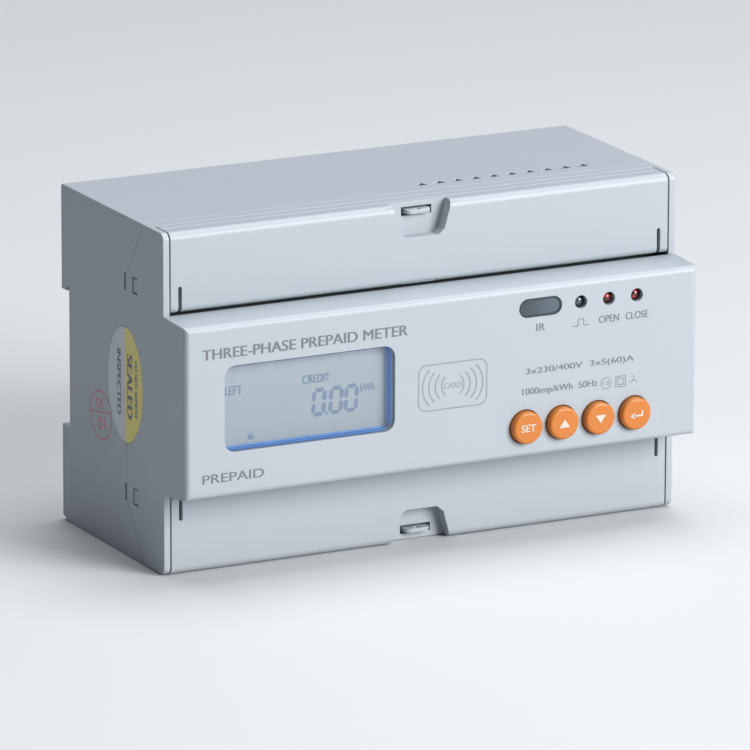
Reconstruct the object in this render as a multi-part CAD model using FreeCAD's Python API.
"""Prepaid electricity meter for a 35 mm top-hat rail, eight modules wide.

Frame: +X to the right, the front faces -Y, +Z up, millimetres.
The origin is the centre of the bottom of the whole meter.
Every separate piece of the meter is one STEP file in parts/.
"""
import FreeCAD, Part
import os

os.makedirs("parts", exist_ok=True)

V = FreeCAD.Vector

# ---------------------------------------------------------------- driving dimensions
WIDTH = 144.0            # eight modules of 18 mm
HEIGHT = 88.0
DEPTH = 74.0             # from the rail side to the key caps
BACK_Y = DEPTH / 2
KEY_FACE_Y = -DEPTH / 2
KEY_PROUD = 2.0
NOSE_Y = KEY_FACE_Y + KEY_PROUD
NOSE_PROJECTION = 12.4
COVER_Y = NOSE_Y + NOSE_PROJECTION
WALL = 2.2               # rear shell
SHELL = 2.0              # front shell
COVER_WALL = 1.6

NOSE_Z = (22.6, 66.6)    # nose face, bottom and top
ROOT_Z = (21.2, 67.0)    # where the drafted nose meets the cover plane
MIRROR_Z = sum(ROOT_Z) / 2

RAIL_SLOT_Z = (25.3, 61.7)
RAIL_SLOT_DEPTH = 4.4
RAIL_SLOT_Y = BACK_Y - RAIL_SLOT_DEPTH

HALF = WIDTH / 2
CHEEK_X = 70.3           # inner face of the cheeks beside the covers
BAY_WALL_Y = (-11.6, -10.35)
STRIP_Y = -14.0          # front edge of the strip above the terminals
PART_GAP = 0.12          # seam between the two shells

HINGE_Y = COVER_Y + COVER_WALL
HINGE_Z = ROOT_Z[1] + 0.4 + COVER_WALL
HINGE_PIN_R = 0.95
HINGE_PIN_PLAY = 0.05

POLES_X = (-56.0, -39.0, -22.0, 22.0)    # three phases and the neutral
SIGNAL_X = (41.0, 46.0, 51.0, 56.0, 61.0)
WIRE_R = 2.6
WIRE_Y = -16.7
SCREW_Z = 74.0

KEYS = {"set": 22.8, "up": 33.1, "down": 43.4, "enter": 53.8}
KEY_Z = 30.4
KEY_R = 4.2
LIGHTS = {"pulse": 38.5, "open": 46.5, "close": 54.5}
LIGHT_Z = 61.0
IR_X = 27.0

DISPLAY_BOARD_Y = (-25.4, -23.8)
METER_BOARD_Y = (0.0, 1.6)
POWER_BOARD_Y = (27.0, 28.6)
BOARD_Z = (26.4, 62.8)
BOARD_X = 66.0
BOSS_PLACES = [(x, z) for x in (-64.0, 64.0) for z in (28.4, 60.8)]

POWER_BOARD_HOLES = [(36.0, 76.0), (65.0, 76.0), (52.0, 17.0), (65.0, 17.0)]

CLIP_X = (-40.0, 40.0)


# ---------------------------------------------------------------- shape helpers
def block(x, y, z):
    """A box from three (low, high) pairs."""
    size = [high - low for low, high in (x, y, z)]
    return Part.makeBox(*size, V(x[0], y[0], z[0]))


def rod(axis, place, radius, span):
    """A cylinder along axis X, Y or Z; place holds the other two coordinates in order."""
    low, high = span
    if axis == "X":
        return Part.makeCylinder(radius, high - low, V(low, *place), V(1, 0, 0))
    if axis == "Y":
        return Part.makeCylinder(radius, high - low, V(place[0], low, place[1]), V(0, 1, 0))
    return Part.makeCylinder(radius, high - low, V(*place, low), V(0, 0, 1))


def side_prism(points, x):
    """A (Y, Z) outline carried along X."""
    corners = [V(x[0], py, pz) for py, pz in points]
    face = Part.Face(Part.makePolygon(corners + corners[:1]))
    return face.extrude(V(x[1] - x[0], 0, 0))


def front_prism(points, y):
    """An (X, Z) outline carried along Y."""
    corners = [V(px, y[0], pz) for px, pz in points]
    face = Part.Face(Part.makePolygon(corners + corners[:1]))
    return face.extrude(V(0, y[1] - y[0], 0))


def fillet(shape, radius, wanted):
    """Round the edges whose middle passes the test."""
    edges = [e for e in shape.Edges if wanted(e.BoundBox)]
    return shape.makeFillet(radius, edges)


def along(axis):
    """A test for edges that run along one axis."""
    lengths = {"X": "XLength", "Y": "YLength", "Z": "ZLength"}
    others = [name for key, name in lengths.items() if key != axis]
    return lambda box: all(getattr(box, name) < 0.01 for name in others)


def panel(x, y, z, corner):
    """A plate facing the front with round corners."""
    return fillet(block(x, y, z), corner, along("Y"))


def fuse(shapes):
    """One solid from several that touch."""
    whole = shapes[0].fuse(shapes[1:]) if len(shapes) > 1 else shapes[0]
    return whole.removeSplitter()


def flipped(shape):
    """The lower copy of an upper piece."""
    return shape.mirror(V(0, 0, MIRROR_Z), V(0, 0, 1))


def both(shape):
    """A piece and its lower copy."""
    return [shape, flipped(shape)]


def centred(middle, half):
    """A (low, high) pair about a middle."""
    return (middle - half, middle + half)


def save(name, shapes):
    """Write one node; a list of separate solids becomes one group."""
    shape = Part.makeCompound(shapes) if isinstance(shapes, list) else shapes
    shape.exportStep("parts/" + name + ".step")


# ---------------------------------------------------------------- shells
def seam(gap):
    """The (Y, Z) line where the shells meet, from the bottom to the top."""
    upper = [(-1.0, 73.0), (-9.6, 85.0), (-10.2, HEIGHT)]
    lower = [(py, HEIGHT - pz) for py, pz in reversed(upper)]
    return [(py - gap, pz) for py, pz in lower + upper]


LABEL_PLACE = (-0.3, 44.4)
LABEL_RADII = (15.05, 10.25)
LABEL_RECESS = 0.12
LABEL_THICK = 0.10


def label_disc(thickness, inset):
    """An upright ellipse let into the left side."""
    centre = V(-HALF, *LABEL_PLACE)
    tall, wide = (r - inset for r in LABEL_RADII)
    top = centre + V(0, 0, tall)
    side = centre + V(0, wide, 0)
    ellipse = Part.Ellipse(top, side, centre)
    face = Part.Face(Part.Wire(ellipse.toShape()))
    return face.extrude(V(thickness, 0, 0))


SNAP_Z = ((69.0, 73.2), (14.4, 18.8))
SNAP_Y = (-7.6, -4.6)


def snap_arms():
    """Four arms of the rear shell whose hooks fill the windows of the front shell."""
    arms = []
    for side in (-1, 1):
        for low, high in SNAP_Z:
            z = (low + 0.3, high - 0.3)
            for reach, y in (((68.2, 70.5), (-0.9, 5.0)),
                             ((68.2, 69.75), (SNAP_Y[0] + 0.2, 0.0)),
                             ((69.0, HALF - 0.2), (SNAP_Y[0] + 0.2, SNAP_Y[1] - 0.35))):
                x = sorted(side * r for r in reach)
                arms.append(block(x, y, z))
    return arms


def vents():
    """Ten triangular slots in the top of the rear shell."""
    count, pitch, first = 10, 5.13, 6.4
    cuts = []
    for i in range(count):
        x = first + i * pitch
        corners = [V(x, -5.4, 80), V(x + 3.8, -5.4, 80), V(x + 3.06, -2.7, 80)]
        face = Part.Face(Part.makePolygon(corners + corners[:1]))
        cuts.append(face.extrude(V(0, 0, 20)))
    return cuts


CLIP_Y = (34.0, 36.7)
CLIP_PEG_Z = (9.3, 11.0)
CLIP_WINDOW_Z = (9.0, 19.0)


def rear_base():
    """Rear shell with the rail slot, the clip channels, the vents and the snap arms."""
    back = [(BACK_Y, HEIGHT), (BACK_Y, 1.3), (BACK_Y - 3.5, 0.0)]
    shell = side_prism(seam(0.0) + back, (-HALF, HALF))
    shell = fillet(shell, 1.0, lambda b: b.YMin > BACK_Y - 0.1 and b.ZMin > HEIGHT - 0.1)
    inside = (-HALF + WALL, HALF - WALL)
    floor_z = WALL
    roof_z = HEIGHT - WALL
    deep = BACK_Y - WALL
    shelf = RAIL_SLOT_Y - WALL
    cuts = [
        block(inside, (-15, shelf), (floor_z, roof_z)),
        block(inside, (0, deep), (RAIL_SLOT_Z[1] + WALL, roof_z)),
        block(inside, (0, 31.4), (floor_z, RAIL_SLOT_Z[0] - WALL)),
    ]
    for x in ((inside[0], -52.0), (-28.0, 28.0), (52.0, inside[1])):
        cuts.append(block(x, (0, deep), (floor_z, RAIL_SLOT_Z[0] - WALL)))
    bead = 1.0
    full = (-HALF - 1, HALF + 1)
    cuts.append(block(full, (RAIL_SLOT_Y, BACK_Y + 1), (RAIL_SLOT_Z[0], RAIL_SLOT_Z[1] - bead)))
    cuts.append(block(full, (RAIL_SLOT_Y, RAIL_SLOT_Y + 1.4), (RAIL_SLOT_Z[0], RAIL_SLOT_Z[1] + 0.2)))
    for cx in CLIP_X:
        cuts.append(block(centred(cx, 6.8), (CLIP_Y[0] - 0.3, BACK_Y + 1), (-1, RAIL_SLOT_Z[0] + 1)))
        cuts.append(block(centred(cx, 8.5), (CLIP_Y[0] - 0.3, 35.5), (3.2, 24.2)))
    for low, high in SNAP_Z:
        cuts.append(block((-HALF - 1, -HALF + 1.2), (-2, 0.1), (low, high)))
        cuts.append(block((HALF - 1.2, HALF + 1), (-2, 0.1), (low, high)))
    cuts.append(label_disc(LABEL_RECESS, 0.0))
    shell = shell.cut(cuts + vents())
    pegs = [block(centred(cx, 1.5), (CLIP_Y[0] - 0.6, 36.4), CLIP_PEG_Z) for cx in CLIP_X]
    posts = []
    for px, pz in POWER_BOARD_HOLES:
        post = rod("Y", (px, pz), 3.0, (POWER_BOARD_Y[1], deep + 0.5))
        posts.append(post)
    shell = fuse([shell] + pegs + posts + snap_arms())
    pilots = [rod("Y", hole, 1.2, (20, 33.5)) for hole in POWER_BOARD_HOLES]
    return shell.cut(pilots)


LCD_X = (-61.2, -14.0)
LCD_Z = (33.8, 55.9)
LCD_CORNER = 3.0


def stadium(x, z, y, half_width, half_height):
    """A slot shape with round ends, wide along X."""
    return panel(centred(x, half_width), y, centred(z, half_height), half_height - 0.01)


def cheek(side):
    """One end wall of the front shell, beside the covers."""
    line = seam(PART_GAP)
    line[0] = (line[0][0], 0.2)
    front = [(COVER_Y, HEIGHT), (COVER_Y, 0.4)]
    x = sorted((side * CHEEK_X, side * HALF))
    wall = side_prism(line + front, x)
    return fillet(wall, 2.0, lambda b: b.YMax < COVER_Y + 0.1 and b.ZLength < 0.1 and b.XLength > 1)


def nose():
    """The raised front that holds the display and the keys, hollow from behind."""
    outline = [(COVER_Y + 0.5, ROOT_Z[1]), (COVER_Y, ROOT_Z[1]), (NOSE_Y, NOSE_Z[1]),
               (NOSE_Y, NOSE_Z[0]), (COVER_Y, ROOT_Z[0]), (COVER_Y + 0.5, ROOT_Z[0])]
    body = side_prism(outline, (-HALF, HALF))
    body = fillet(body, 1.6, lambda b: b.YMax < NOSE_Y + 0.1)
    hollow = block((-HALF + SHELL, HALF - SHELL), (NOSE_Y + SHELL, 0), (NOSE_Z[0] + 1.8, NOSE_Z[1] - 1.8))
    return body.cut(hollow)


def tongue():
    """Seal tongue that comes out through the slot of the cover."""
    plate = block((-3.5, 3.5), (-20.9, BAY_WALL_Y[0]), (85.0, 86.1))
    plate = fillet(plate, 1.6, lambda b: b.YMax < -20.8 and b.ZLength > 1)
    return plate.cut(rod("Z", (0.0, -19.75), 0.75, (84, 87)))


def bay():
    """Shelf, rear wall, top strip and seal tongue of one terminal bay."""
    x = (-CHEEK_X - 0.5, CHEEK_X + 0.5)
    shelf = block(x, (COVER_Y + 0.4, BAY_WALL_Y[1]), (ROOT_Z[1] - SHELL, ROOT_Z[1]))
    wall = block(x, BAY_WALL_Y, (ROOT_Z[1] - SHELL, HEIGHT))
    strip = block(x, (STRIP_Y, BAY_WALL_Y[1]), (HEIGHT - SHELL, HEIGHT))
    slots = [block(centred(px, 3.6), (-13, -9), centred(SCREW_Z, 1.4)) for px in POLES_X]
    shape = fuse([shelf, wall, strip, tongue()])
    return shape.cut(slots)


def front_housing():
    """Front shell: nose, cheeks, terminal bays and board bosses."""
    bosses = [rod("Y", place, 2.2, (NOSE_Y + 1, DISPLAY_BOARD_Y[0])) for place in BOSS_PLACES]
    shape = fuse([cheek(-1), cheek(1), nose()] + both(bay()) + bosses)
    face = (NOSE_Y - 1, NOSE_Y + SHELL + 1)
    cuts = [panel(LCD_X, face, LCD_Z, LCD_CORNER), stadium(IR_X, LIGHT_Z, face, 6.05, 2.45)]
    cuts += [rod("Y", (x, LIGHT_Z), 1.7, face) for x in LIGHTS.values()]
    cuts += [rod("Y", (x, KEY_Z), KEY_R + 0.25, face) for x in KEYS.values()]
    cuts += [rod("Y", place, 0.9, (-30.0, -20.0)) for place in BOSS_PLACES]
    pin = rod("X", (HINGE_Y, HINGE_Z), HINGE_PIN_R + HINGE_PIN_PLAY, (-HALF + 0.7, HALF - 0.7))
    cuts += both(pin)
    for low, high in SNAP_Z:
        cuts.append(block((-HALF - 1, -CHEEK_X + 0.5), SNAP_Y, (low, high)))
        cuts.append(block((CHEEK_X - 0.5, HALF + 1), SNAP_Y, (low, high)))
    cuts.append(label_disc(LABEL_RECESS, 0.0))
    return shape.cut(cuts)


def cheek_room(side):
    """Space of the cheek plate beside the upper cover, in front of the strip."""
    x = sorted((side * CHEEK_X, side * (HALF + 1)))
    return block(x, (COVER_Y - 1, STRIP_Y), (ROOT_Z[1], HEIGHT + 1))


# ---------------------------------------------------------------- covers
def pocket(inset, y, top):
    """Trapezoid of the latch pocket, wider at the top."""
    half_top = 8.4 + inset
    half_low = 5.6 + inset
    low = 79.4 - inset
    points = [(-half_top, top), (half_top, top), (half_low + 0.6, low + 1.6), (half_low - 1.2, low),
              (-half_low + 1.2, low), (-half_low - 0.6, low + 1.6)]
    return front_prism(points, y)


def upper_cover():
    """Terminal cover: plate with a half-round hinge edge, lip, latch pocket and two pins."""
    end = CHEEK_X - 0.35
    x = (-end, end)
    outer = side_prism([(COVER_Y, HINGE_Z), (COVER_Y, HEIGHT), (STRIP_Y - 0.25, HEIGHT),
                        (STRIP_Y - 0.25, HINGE_Z)], x)
    outer = fillet(outer, 2.0, lambda b: b.YMax < COVER_Y + 0.1 and b.ZMin > HEIGHT - 0.1)
    hollow = block((-HALF, HALF), (HINGE_Y, 0), (HINGE_Z - 1, HEIGHT - COVER_WALL))
    plate = outer.cut(hollow)
    knuckle = rod("X", (HINGE_Y, HINGE_Z), COVER_WALL, x)
    box = pocket(1.4, (COVER_Y + 0.5, -17.6), HEIGHT - 0.5)
    plate = fuse([plate, knuckle, box])
    groove = side_prism([(-17.6, HEIGHT + 0.1), (-17.2, HEIGHT + 0.1), (-17.4, HEIGHT - 0.3)], (-HALF, HALF))
    cuts = [
        pocket(0.0, (COVER_Y - 1, -19.0), HEIGHT + 1),
        block((-4.25, 4.25), (-19.5, -17.0), (84.4, 86.6)),
        block((-5.5, 4.3), (COVER_Y - 1, COVER_Y + 0.9), (60, ROOT_Z[1] + 1.1)),
        groove,
    ]
    for side in (-1, 1):
        slit = sorted((side * 66.9, side * 67.8))
        cuts.append(block(slit, (COVER_Y - 1, -18), (60, 73.7)))
        cuts.append(rod("Y", (side * 67.35, 73.7), 0.45, (COVER_Y - 1, -18)))
    plate = plate.cut(cuts)
    pin = rod("X", (HINGE_Y, HINGE_Z), HINGE_PIN_R, (-HALF + 0.9, HALF - 0.9))
    pin = pin.cut(block((-68.2, 68.2), (-30, 0), (60, 80)))
    return fuse([plate, pin])


# ---------------------------------------------------------------- keys, lights and display
def key_cap(x):
    """Round cap with a flange behind the face and a stem to its switch."""
    cap = rod("Y", (x, KEY_Z), KEY_R, (KEY_FACE_Y, -32.5))
    cap = fillet(cap, 0.8, lambda b: b.YMax < KEY_FACE_Y + 0.1)
    flange = rod("Y", (x, KEY_Z), 4.85, (-32.9, -31.9))
    stem = rod("Y", (x, KEY_Z), 1.5, (-32.0, -29.7))
    return fuse([cap, flange, stem])


def switch_plunger(x):
    """The moving button of one tact switch."""
    return rod("Y", (x, KEY_Z), 1.7, (-29.7, -27.8))


def key_switches():
    """Four square tact switches on the display board."""
    bodies = []
    for x in KEYS.values():
        body = block(centred(x, 3.0), (-28.9, DISPLAY_BOARD_Y[0]), centred(KEY_Z, 3.0))
        bodies.append(body.cut(rod("Y", (x, KEY_Z), 1.75, (-30.0, -26.9))))
    return bodies


def led(x, z, tip):
    """A 3 mm lamp with a dome, a collar and two legs to the board."""
    radius = 1.5
    lens = rod("Y", (x, z), radius, (tip + radius, -29.0))
    dome = Part.makeSphere(radius, V(x, tip + radius, z))
    collar = rod("Y", (x, z), 1.9, (-29.6, -28.6))
    legs = [block(centred(x + dx, 0.25), (-28.7, DISPLAY_BOARD_Y[0]), centred(z, 0.25)) for dx in (-1.0, 1.0)]
    return fuse([lens, dome, collar] + legs)


def lcd_window():
    """Clear pane in the face, with a flange behind the wall."""
    pane = panel((LCD_X[0] + 0.2, LCD_X[1] - 0.2), (-34.2, -32.9), (LCD_Z[0] + 0.2, LCD_Z[1] - 0.2), 2.8)
    flange = block((-62.6, -12.6), (-33.0, -32.2), (32.6, 57.1))
    return fuse([pane, flange])


def lcd_frame():
    """Holder that stands on the display board around the liquid crystal glass."""
    body = block((-63.4, -11.8), (-32.2, DISPLAY_BOARD_Y[0]), (31.0, 58.6))
    hold = block((-61.7, -13.5), (-31.7, -20.0), (32.7, 57.0))
    view = block((-60.0, -15.2), (-33.0, -31.0), (34.6, 55.1))
    return body.cut([hold, view])


def lcd_glass():
    """Two bonded panes, the front one shorter at the contact edge."""
    rear = block((-61.6, -13.6), (-30.5, -29.4), (32.8, 56.9))
    front = block((-61.6, -13.6), (-31.6, -30.5), (34.3, 56.9))
    return fuse([rear, front])


def ir_window():
    """Dark pane over the infrared pair."""
    pane = stadium(IR_X, LIGHT_Z, (-34.6, -32.9), 5.9, 2.3)
    flange = stadium(IR_X, LIGHT_Z, (-33.0, -32.2), 6.8, 3.2)
    return fuse([pane, flange])


def ir_diode(x):
    """Infrared diode behind the dark pane."""
    lens = rod("Y", (x, LIGHT_Z), 1.5, (-31.9, -27.4))
    legs = [block(centred(x + dx, 0.25), (-27.5, DISPLAY_BOARD_Y[0]), centred(LIGHT_Z, 0.25))
            for dx in (-0.9, 0.9)]
    return fuse([lens] + legs)


# ---------------------------------------------------------------- boards
def board_spacers():
    """Threaded pillars between the boards, each with a stud into its boss."""
    pillars = []
    for place in BOSS_PLACES:
        pillar = rod("Y", place, 2.4, (DISPLAY_BOARD_Y[1], METER_BOARD_Y[0]))
        stud = rod("Y", place, 0.85, (-29.5, DISPLAY_BOARD_Y[1] + 0.1))
        tap = rod("Y", place, 1.15, (-7.0, 1.0))
        pillars.append(fuse([pillar, stud]).cut(tap))
    return pillars


def pan_screw(place, head_y, tip_y, head_r, thread_r):
    """Pan-head screw along Y whose head stands between head_y and its seat."""
    toward = 1 if tip_y > head_y else -1
    seat = head_y + toward * 1.4
    head = rod("Y", place, head_r, sorted((head_y, seat)))
    slot = block(centred(place[0], 3.0), sorted((head_y, head_y + toward * 0.6)), centred(place[1], 0.35))
    thread = rod("Y", place, thread_r, sorted((seat - toward * 0.1, tip_y)))
    return fuse([head.cut(slot), thread])


def display_board():
    """Board behind the face."""
    board = block((-BOARD_X, BOARD_X), DISPLAY_BOARD_Y, BOARD_Z)
    return board.cut([rod("Y", place, 1.0, (-30, -20)) for place in BOSS_PLACES])


def metering_board():
    """Main board in the middle of the case."""
    board = block((-BOARD_X, BOARD_X), METER_BOARD_Y, BOARD_Z)
    return board.cut([rod("Y", place, 1.25, (-5, 5)) for place in BOSS_PLACES])


def board_header():
    """Pin strip that joins the two boards."""
    pitch, pins = 2.54, 10
    x0 = -6.0
    length = pitch * pins
    low = block((x0, x0 + length), (DISPLAY_BOARD_Y[1], -20.8), (53.0, 55.5))
    high = block((x0, x0 + length), (-3.0, METER_BOARD_Y[0]), (53.0, 55.5))
    wires = []
    for i in range(pins):
        x = x0 + pitch * (i + 0.5)
        wires.append(block(centred(x, 0.32), (-21.0, -2.8), centred(54.25, 0.32)))
    return fuse([low, high] + wires)


def metering_chips():
    """Processor and measuring chip on the front of the main board."""
    return [block(x, (-1.4, METER_BOARD_Y[0]), z)
            for x, z in (((24.0, 34.0), (40.0, 50.0)), ((-14.0, -7.0), (34.0, 41.0)))]


def backup_battery():
    """Lithium cell with its end nub, lying on the main board."""
    cell = rod("X", (-8.0, 44.0), 7.2, (-59.0, -34.5))
    nub = rod("X", (-8.0, 44.0), 2.5, (-34.6, -33.6))
    return fuse([cell, nub])


def buzzer():
    """Round sounder on the back of the display board."""
    body = rod("Y", (50.0, 44.0), 6.0, (DISPLAY_BOARD_Y[1], -16.3))
    return body.cut(rod("Y", (50.0, 44.0), 1.0, (-18.0, -15.0)))


def card_antenna():
    """Flat coil behind the card area, a rectangular ring."""
    outer = panel((-11.2, 15.6), (-33.0, -32.4), (34.6, 52.8), 2.0)
    inner = panel((-7.2, 11.6), (-34.0, -31.0), (38.6, 48.8), 1.0)
    return outer.cut(inner)


def power_board():
    """Supply board at the back."""
    board = block((32.0, 68.5), POWER_BOARD_Y, (13.0, 80.0))
    return board.cut([rod("Y", place, 1.6, (25, 30)) for place in POWER_BOARD_HOLES])


def power_transformer():
    """Laminated core with a wound bobbin."""
    core = block((38.0, 62.0), (9.0, 25.5), (44.0, 64.0))
    bobbin = block((41.5, 58.5), (7.0, POWER_BOARD_Y[0]), (47.5, 60.5))
    return fuse([core, bobbin])


def storage_capacitor():
    """Electrolytic can standing on the supply board."""
    can = rod("Y", (46.0, 30.0), 8.0, (6.0, POWER_BOARD_Y[0]))
    return fillet(can, 0.8, lambda b: b.YMax < 6.1)


def surge_varistors():
    """Three discs that clamp surges."""
    discs = []
    for x in (42.0, 50.0, 58.0):
        disc = rod("X", (19.0, 71.5), 5.0, (x - 2.0, x + 2.0))
        legs = [block(centred(x, 0.4), (19.0, POWER_BOARD_Y[0]), centred(71.5 + dz, 0.4)) for dz in (-3, 3)]
        discs.append(fuse([disc] + legs))
    return discs


# ---------------------------------------------------------------- power path
STRAP = 1.2              # busbar thickness
STRAP_HALF = 3.0
CLAMP_BACK_Y = -12.2
RELAY_Z = (MIRROR_Z * 2 - 63.0, 63.0)


def latching_relays():
    """One relay per phase, standing between the incoming and outgoing straps."""
    relays = []
    for x in POLES_X[:3]:
        body = block(centred(x, 7.9), (3.6, 29.6), RELAY_Z)
        relays.append(fillet(body, 0.8, along("Y")))
    return relays


def phase_strap(x):
    """Bent strap from a clamp to the top of a relay."""
    level = block(centred(x, STRAP_HALF), (CLAMP_BACK_Y, 10.2), centred(SCREW_Z, STRAP / 2))
    drop = block(centred(x, STRAP_HALF), (10.2 - STRAP, 10.2), (RELAY_Z[1], SCREW_Z))
    return fuse([level, drop])


def neutral_busbar():
    """Strap that joins the upper and lower neutral clamps."""
    x = centred(POLES_X[3], STRAP_HALF)
    level = block(x, (CLAMP_BACK_Y, 5.0), centred(SCREW_Z, STRAP / 2))
    rear = block(x, (5.0 - STRAP, 5.0), (MIRROR_Z * 2 - SCREW_Z, SCREW_Z))
    return fuse(both(level) + [rear])


def current_transformers():
    """Ring cores around the outgoing straps."""
    rings = []
    for x in POLES_X[:3]:
        ring = rod("Y", (x, SCREW_Z), 7.4, (-4.0, 3.0))
        ring = fillet(ring, 1.0, lambda b: True)
        rings.append(ring.cut(rod("Y", (x, SCREW_Z), 3.4, (-5.0, 4.0))))
    return rings


TERMINAL_TOP_Z = 80.6
TERMINAL_FRONT_Y = -20.4
CLAMP_Z = (70.9, 77.2)


def terminal_profile(top):
    """(Y, Z) outline of a terminal moulding, stepped back beside the hinge."""
    return [(BAY_WALL_Y[0], ROOT_Z[1]), (-18.9, ROOT_Z[1]), (-18.9, 70.7), (TERMINAL_FRONT_Y, 70.7),
            (TERMINAL_FRONT_Y, top), (BAY_WALL_Y[0], top)]


def terminal_block():
    """Insulating moulding with one cell per pole."""
    body = side_prism(terminal_profile(TERMINAL_TOP_Z), (POLES_X[0] - 8.4, POLES_X[3] + 8.4))
    cuts = [block((-11.5, 11.5), (-25.0, -16.6), (76.6, 90.0))]
    for x in POLES_X:
        cuts.append(block(centred(x, 5.1), (-19.5, 0.0), (CLAMP_Z[0] - 0.1, CLAMP_Z[1] + 0.1)))
        cuts.append(rod("Y", (x, SCREW_Z), 2.9, (-25.0, -19.0)))
        cuts.append(rod("Z", (x, WIRE_Y), WIRE_R, (77.0, 85.0)))
    for left, right in zip(POLES_X[:2], POLES_X[1:3]):
        middle = (left + right) / 2
        cuts.append(block(centred(middle, 0.6), (-25.0, -14.0), (72.0, 90.0)))
    return body.cut(cuts)


def wire_clamps():
    """Brass cages, open towards the wire entry, tapped for the clamp screw."""
    cages = []
    for x in POLES_X:
        cage = block(centred(x, 5.0), (-19.4, CLAMP_BACK_Y), CLAMP_Z)
        channel = block(centred(x, 3.2), (-17.6, -13.4), (71.9, 80.0))
        mouth = block(centred(x, 3.2), (-20.0, -13.4), (76.0, 80.0))
        cages.append(cage.cut([channel, mouth, rod("Y", (x, SCREW_Z), 1.75, (-25.0, -15.0))]))
    return cages


def clamp_screw(x, head_r, thread_r, head_y, seat_y, tip_y):
    """Cheese-head screw with a cross slot, seen from the front."""
    head = rod("Y", (x, SCREW_Z), head_r, (head_y, seat_y))
    thread = rod("Y", (x, SCREW_Z), thread_r, (seat_y - 0.1, tip_y))
    slots = [block(centred(x, head_r * 0.75), (head_y - 1, head_y + 0.5), centred(SCREW_Z, 0.35)),
             block(centred(x, 0.35), (head_y - 1, head_y + 0.5), centred(SCREW_Z, head_r * 0.75))]
    return fuse([head, thread]).cut(slots)


SIGNAL_TOP_Z = 79.0


def signal_terminals():
    """Small screw terminals for data and pulse wires."""
    x = (SIGNAL_X[0] - 3.0, SIGNAL_X[-1] + 3.0)
    body = side_prism(terminal_profile(SIGNAL_TOP_Z), x)
    cuts = []
    for sx in SIGNAL_X:
        cuts.append(block(centred(sx, 1.5), (-18.4, -14.6), (73.0, 90.0)))
        cuts.append(rod("Y", (sx, SCREW_Z), 1.9, (-25.0, -19.2)))
        cuts.append(rod("Y", (sx, SCREW_Z), 1.2, (-20.0, -17.0)))
    return body.cut(cuts)


# ---------------------------------------------------------------- rail clips
def rail_clip(x):
    """Sliding catch with side flanges, a spring window and a pull slot."""
    body = block(centred(x, 6.5), CLIP_Y, (0.6, 27.9))
    body = body.makeChamfer(1.8, [e for e in body.Edges
                                  if e.BoundBox.YMin > CLIP_Y[1] - 0.1 and e.BoundBox.ZMin > 27.8])
    flange = block(centred(x, 8.2), (CLIP_Y[0], 35.2), (7.0, 23.9))
    window = block(centred(x, 1.9), (30, 40), CLIP_WINDOW_Z)
    slot = block(centred(x, 2.5), (30, 40), (2.2, 4.2))
    return fuse([body, flange]).cut([window, slot])


def clip_spring(x):
    """Folded strip spring between the peg of the shell and the top of the window."""
    legs, swing, strip_half, seat_gap = 6, 1.1, 0.35, 0.02
    low, high = CLIP_PEG_Z[1] + seat_gap, CLIP_WINDOW_Z[1] - seat_gap
    folds = [(x + swing * (-1) ** i, low + (high - low) * i / legs) for i in range(legs + 1)]
    left_edge = [(fx - strip_half, fz) for fx, fz in folds]
    right_edge = [(fx + strip_half, fz) for fx, fz in folds]
    return front_prism(left_edge + right_edge[::-1], (34.5, 36.2))


# ---------------------------------------------------------------- write every node
save("rear_base", rear_base())
front = front_housing()
for side_name, side in (("left", -1), ("right", 1)):
    rooms = both(cheek_room(side))
    save(side_name + "_cheeks", [front.common(room) for room in rooms])
    front = front.cut(rooms)
save("front_housing", front)
save("upper_terminal_cover", upper_cover())
save("lower_terminal_cover", flipped(upper_cover()))

for key, key_x in KEYS.items():
    save(key + "_key", key_cap(key_x))
    save(key + "_switch_plunger", switch_plunger(key_x))
save("key_switches", key_switches())

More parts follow.
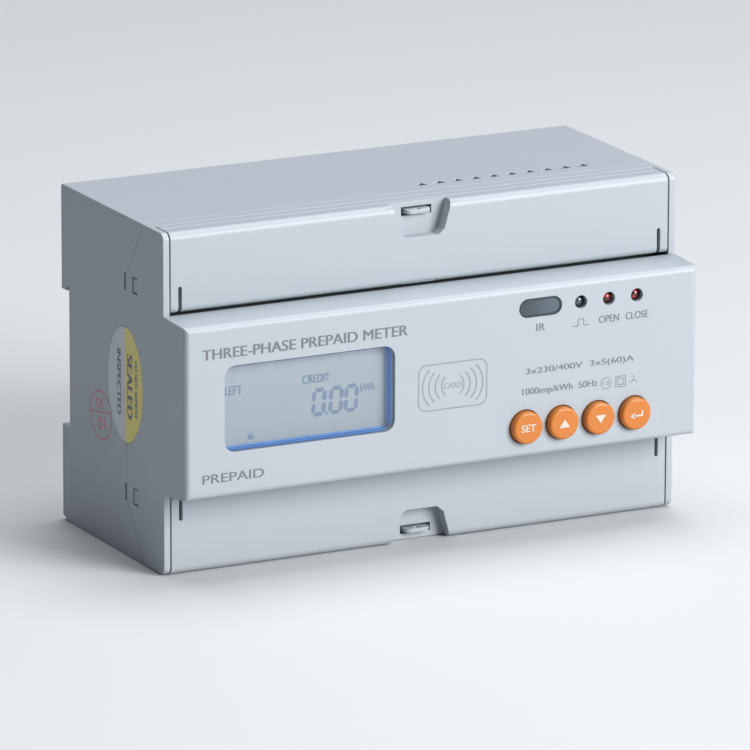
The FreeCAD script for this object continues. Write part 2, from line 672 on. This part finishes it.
save("lcd_window", lcd_window())
save("lcd_frame", lcd_frame())
save("lcd_glass", lcd_glass())
save("lcd_backlight", block((-61.4, -13.8), (-29.3, -26.6), (33.0, 56.7)))
save("ir_window", ir_window())
save("ir_emitter", ir_diode(IR_X - 2.6))
save("ir_receiver", ir_diode(IR_X + 2.6))
for light, light_x in LIGHTS.items():
    save(light + "_led", led(light_x, LIGHT_Z, -34.3))

save("display_board", display_board())
save("metering_board", metering_board())
save("board_spacers", board_spacers())
save("board_screws", [pan_screw(place, 3.0, -6.0, 2.3, 1.1) for place in BOSS_PLACES])
save("board_header", board_header())
save("metering_chips", metering_chips())
save("backup_battery", backup_battery())
save("buzzer", buzzer())
save("card_antenna", card_antenna())

save("power_board", power_board())
save("power_board_screws", [pan_screw(place, 25.6, 33.0, 2.8, 1.15) for place in POWER_BOARD_HOLES])
save("power_transformer", power_transformer())
save("storage_capacitor", storage_capacitor())
save("surge_varistors", surge_varistors())

load_straps = [phase_strap(x) for x in POLES_X[:3]]
save("latching_relays", latching_relays())
save("load_busbars", load_straps)
save("line_busbars", [flipped(strap) for strap in load_straps])
save("neutral_busbar", neutral_busbar())
save("current_transformers", current_transformers())

TERMINAL_PIECES = {
    "terminal_block": terminal_block(),
    "wire_clamps": wire_clamps(),
    "clamp_screws": [clamp_screw(x, 2.6, 1.7, -20.2, -19.4, -16.2) for x in POLES_X],
    "signal_terminals": signal_terminals(),
    "signal_screws": [clamp_screw(x, 1.6, 1.15, -19.9, -19.2, -17.4) for x in SIGNAL_X],
}
for piece, shapes in TERMINAL_PIECES.items():
    group = isinstance(shapes, list)
    save("upper_" + piece, shapes)
    save("lower_" + piece, [flipped(s) for s in shapes] if group else flipped(shapes))

for side_name, clip_x in zip(("left", "right"), CLIP_X):
    save(side_name + "_rail_clip", rail_clip(clip_x))
    save(side_name + "_clip_spring", clip_spring(clip_x))

save("side_label", label_disc(LABEL_THICK, 0.1).translated(V(LABEL_RECESS - LABEL_THICK, 0, 0)))
